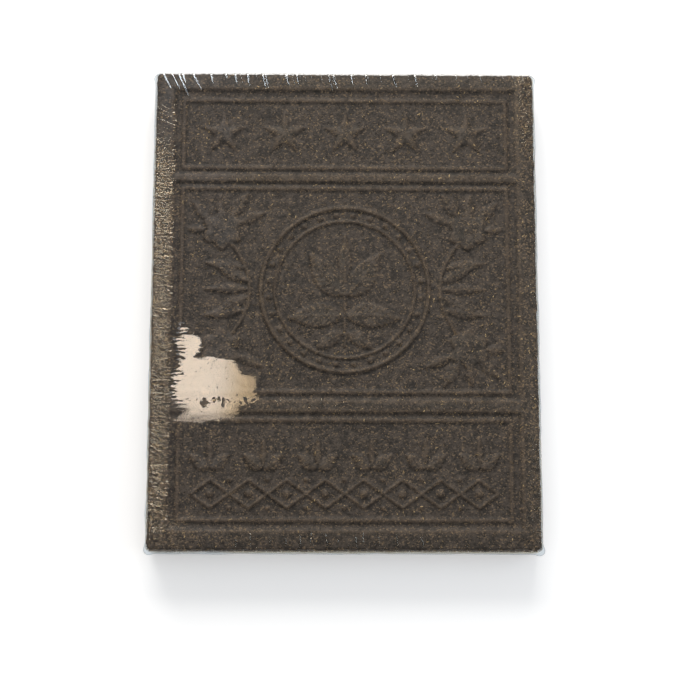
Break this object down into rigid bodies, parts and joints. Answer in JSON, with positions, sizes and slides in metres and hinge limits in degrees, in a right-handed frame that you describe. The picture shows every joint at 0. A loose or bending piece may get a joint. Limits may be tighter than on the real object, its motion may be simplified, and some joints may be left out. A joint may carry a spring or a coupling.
{
  "type": "pu erh tea brick",
  "caption": "Flat rectangular brick of pressed dark tea with low moulded relief on its face, sealed in tight clear film, lying face up.",
  "frame": {"origin": "middle of the brick's back, which it lies on", "axes": "+X across the face, +Y up the design on the face, +Z out of the face"},
  "size_m": [0.19, 0.24, 0.02],
  "materials": {
    "pressed_tea": "pressed dark tea leaf dust, matt and fine grained",
    "clear_film": "thin clear shrink film, glossy, wrinkled at the edges"
  },
  "bodies": {
    "root": {"tea_brick": "pressed_tea"}
  },
  "joints": []
}
